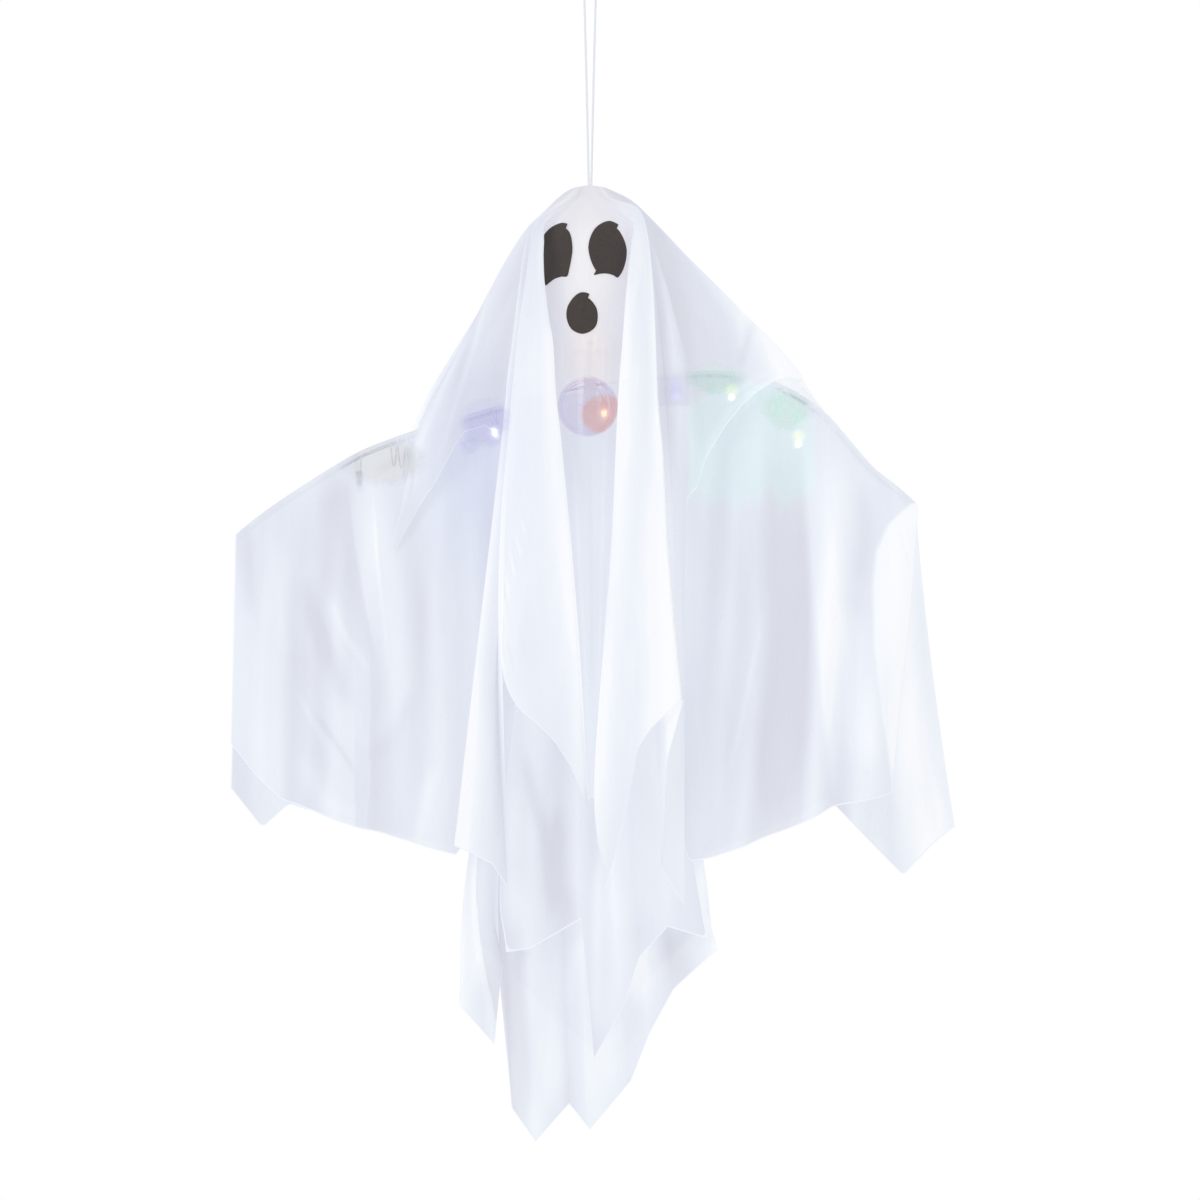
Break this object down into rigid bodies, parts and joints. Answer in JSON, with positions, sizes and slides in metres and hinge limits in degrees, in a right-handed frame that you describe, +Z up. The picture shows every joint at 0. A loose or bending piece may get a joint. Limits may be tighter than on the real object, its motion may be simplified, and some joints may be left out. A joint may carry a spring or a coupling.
{
  "type": "lighted hanging ghost figure",
  "caption": "Ghost that hangs on a doubled cord: lit egg head, bent wire arms, sheer sheets with pointed hems and a string of lamps with its battery case inside.",
  "frame": {"origin": "inside of the cord loop's top, where the hook carries it", "axes": "+Z up; the face looks along -Y; +X is on the viewer's right when the face is seen from the front"},
  "size_m": [0.7007, 0.1732, 1.108],
  "materials": {
    "cord": "braided cotton",
    "bead": "smooth, unvarnished",
    "sheet": "thin sheer woven cloth",
    "felt": "matt felt",
    "shell": "thin translucent moulding",
    "white_plastic": "satin",
    "cap": "soft, matt",
    "tie": "smooth",
    "wire": "drawn, bare",
    "screw": "bright zinc",
    "contact": "nickel plated",
    "cell": "printed sleeve without a mark",
    "slider": "matt",
    "lead": "clear sleeve over fine strands",
    "lamp_warm": "clear moulding",
    "lamp_clear": "clear moulding, not lit",
    "lamp_violet": "clear moulding",
    "lamp_red": "clear moulding",
    "lamp_green": "clear moulding"
  },
  "bodies": {
    "cord": {"hang_cord": "cord"},
    "knot": {"cord_knot": "cord"},
    "bead": {"anchor_bead": "bead"},
    "figure": {"arm_wire": "wire", "battery_case": "white_plastic", "body_cloth": "sheet", "case_tie_left": "tie", "case_tie_right": "tie", "cell_bridge": "contact", "cell_lower": "cell", "cell_upper": "cell", "contact_tab_lower": "contact", "contact_tab_upper": "contact", "drape_tie": "tie", "hank_tie": "tie", "head_shell": "shell", "lead_case_to_head": "lead", "lead_case_to_lamp": "lead", "lead_case_to_shoulder": "lead", "lead_elbow_tail": "lead", "lead_hank": "lead", "lead_neck_to_shoulder": "lead", "lead_shoulder_to_elbow": "lead", "lead_shoulder_to_wrist": "lead", "led_case": "lamp_violet", "led_head": "lamp_warm", "led_left_shoulder": "lamp_violet", "led_left_wrist": "lamp_clear", "led_neck": "lamp_red", "led_right_elbow": "lamp_green", "led_right_shoulder": "lamp_green", "left_eye": "felt", "left_wrist_cap": "cap", "long_drape": "sheet", "mid_drape": "sheet", "mouth": "felt", "neck_plug": "white_plastic", "neck_screw_back": "screw", "neck_screw_front": "screw", "right_eye": "felt", "right_wrist_cap": "cap", "spring_lower": "contact", "spring_upper": "contact", "veil": "sheet", "wire_lock_screw": "screw"},
    "switch": {"switch_slider": "slider"},
    "cover": {"battery_cover": "white_plastic"}
  },
  "joints": [
    {"name": "cord_turn", "type": "hinge", "parent": "cord", "child": "knot", "pos_m": [0, 0, -0.20121], "axis": [0, 0, 1], "continuous": true},
    {"name": "figure_nod", "type": "hinge", "parent": "knot", "child": "bead", "pos_m": [0, 0, -0.20121], "axis": [1, 0, 0], "range_deg": [-8, 8]},
    {"name": "figure_sway", "type": "hinge", "parent": "bead", "child": "figure", "pos_m": [0, 0, -0.20121], "axis": [0, 1, 0], "range_deg": [-15, 15]},
    {"name": "switch_slide", "type": "slide", "parent": "figure", "child": "switch", "axis": [1, 0, 0], "range_m": [0, 0.004]},
    {"name": "cover_slide", "type": "slide", "parent": "figure", "child": "cover", "axis": [0, 0, -1], "range_m": [0, 0.027]}
  ]
}
